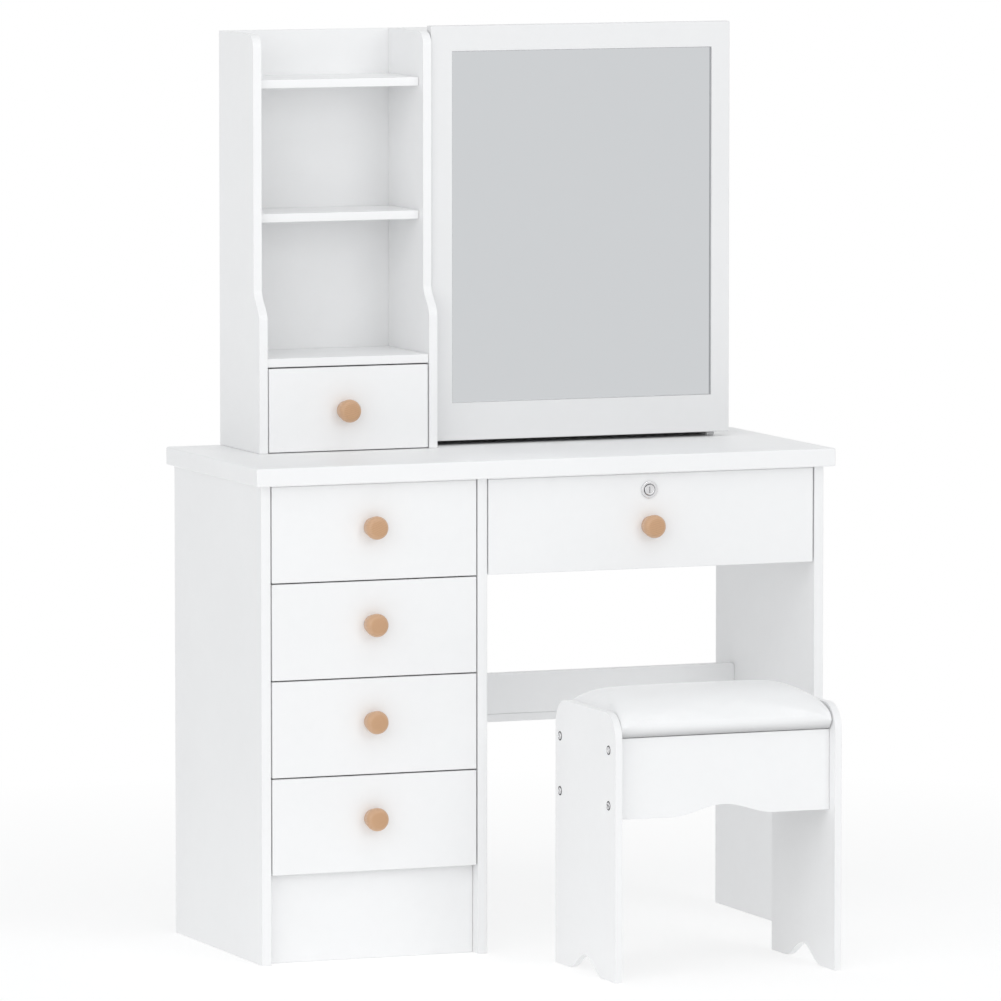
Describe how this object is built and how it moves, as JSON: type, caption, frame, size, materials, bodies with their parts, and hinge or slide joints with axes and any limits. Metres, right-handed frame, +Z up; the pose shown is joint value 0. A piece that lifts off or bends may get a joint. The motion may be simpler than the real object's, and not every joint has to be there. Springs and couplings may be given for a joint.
{
  "type": "makeup vanity desk",
  "caption": "Desk with a drawer pedestal, a wide lockable drawer, an open tower with a small drawer, a mirror door cabinet and a matching cushioned stool.",
  "frame": {"origin": "on the floor, at the middle of the whole set's width and depth, the stool included", "axes": "+Z up; -Y towards the sitter, the side that the drawer fronts face; +X to the sitter's right, the side of the mirror cabinet"},
  "size_m": [0.944, 0.747, 1.397],
  "materials": {
    "white_lacquer": "satin white lacquer on board",
    "box_board": "matt white foil on board",
    "white_sheet": "matt white hardboard",
    "beech": "clear satin lacquer on beech",
    "mirror": "polished silvered glass",
    "nickel": "bright nickel plate",
    "zinc_steel": "satin nickel plate",
    "leatherette": "soft white leatherette"
  },
  "bodies": {
    "desk": {"tabletop": "white_lacquer", "left_side_panel": "white_lacquer", "middle_panel": "white_lacquer", "right_side_panel": "white_lacquer", "pedestal_back": "white_sheet", "plinth": "white_lacquer", "knee_rail": "white_lacquer", "knee_rail_shelf": "white_lacquer", "rear_rail": "white_lacquer", "tower_left_panel": "white_lacquer", "tower_right_panel": "white_lacquer", "tower_back": "white_sheet", "tower_top_shelf": "white_lacquer", "tower_middle_shelf": "white_lacquer", "tower_drawer_cover": "white_lacquer", "cabinet_right_panel": "white_lacquer", "cabinet_top": "white_lacquer", "cabinet_back": "white_sheet", "cabinet_upper_shelf": "white_lacquer", "cabinet_lower_shelf": "white_lacquer", "hinge_arm_upper": "zinc_steel", "hinge_arm_lower": "zinc_steel", "lock_strike": "zinc_steel"},
    "pedestal_drawer_1": {"pedestal_drawer_1_front": "white_lacquer", "pedestal_drawer_1_box": "box_board", "pedestal_drawer_1_bottom": "white_sheet", "pedestal_drawer_1_knob": "beech"},
    "pedestal_drawer_2": {"pedestal_drawer_2_front": "white_lacquer", "pedestal_drawer_2_box": "box_board", "pedestal_drawer_2_bottom": "white_sheet", "pedestal_drawer_2_knob": "beech"},
    "pedestal_drawer_3": {"pedestal_drawer_3_front": "white_lacquer", "pedestal_drawer_3_box": "box_board", "pedestal_drawer_3_bottom": "white_sheet", "pedestal_drawer_3_knob": "beech"},
    "pedestal_drawer_4": {"pedestal_drawer_4_front": "white_lacquer", "pedestal_drawer_4_box": "box_board", "pedestal_drawer_4_bottom": "white_sheet", "pedestal_drawer_4_knob": "beech"},
    "wide_drawer": {"wide_drawer_front": "white_lacquer", "wide_drawer_box": "box_board", "wide_drawer_bottom": "white_sheet", "wide_drawer_knob": "beech", "lock_cylinder": "nickel"},
    "tower_drawer": {"tower_drawer_front": "white_lacquer", "tower_drawer_box": "box_board", "tower_drawer_bottom": "white_sheet", "tower_drawer_knob": "beech"},
    "lock_plug": {"lock_plug": "nickel"},
    "mirror_door": {"door_frame": "white_lacquer", "mirror_glass": "mirror", "mirror_backing": "white_sheet", "hinge_cup_upper": "zinc_steel", "hinge_cup_lower": "zinc_steel"},
    "stool": {"stool_left_side": "white_lacquer", "stool_right_side": "white_lacquer", "stool_front_apron": "white_lacquer", "stool_rear_apron": "white_lacquer", "stool_seat_board": "box_board", "stool_cushion": "leatherette"}
  },
  "joints": [
    {"name": "pedestal_drawer_1_slide", "type": "slide", "parent": "desk", "child": "pedestal_drawer_1", "axis": [0, -1, 0], "range_m": [0, 0.26]},
    {"name": "pedestal_drawer_2_slide", "type": "slide", "parent": "desk", "child": "pedestal_drawer_2", "axis": [0, -1, 0], "range_m": [0, 0.26]},
    {"name": "pedestal_drawer_3_slide", "type": "slide", "parent": "desk", "child": "pedestal_drawer_3", "axis": [0, -1, 0], "range_m": [0, 0.26]},
    {"name": "pedestal_drawer_4_slide", "type": "slide", "parent": "desk", "child": "pedestal_drawer_4", "axis": [0, -1, 0], "range_m": [0, 0.26]},
    {"name": "wide_drawer_slide", "type": "slide", "parent": "desk", "child": "wide_drawer", "axis": [0, -1, 0], "range_m": [0, 0.26]},
    {"name": "tower_drawer_slide", "type": "slide", "parent": "desk", "child": "tower_drawer", "axis": [0, -1, 0], "range_m": [0, 0.11]},
    {"name": "lock_plug_turn", "type": "hinge", "parent": "wide_drawer", "child": "lock_plug", "pos_m": [0.16935, -0.014, 0.6977], "axis": [0, -1, 0], "range_deg": [0, 90]},
    {"name": "mirror_door_hinge", "type": "hinge", "parent": "desk", "child": "mirror_door", "pos_m": [-0.09035, 0.2301, 1.07835], "axis": [0, 0, -1], "range_deg": [0, 90]},
    {"name": "stool_slide", "type": "slide", "parent": "desk", "child": "stool", "axis": [0, 1, 0], "range_m": [-0.3, 0.4]}
  ]
}
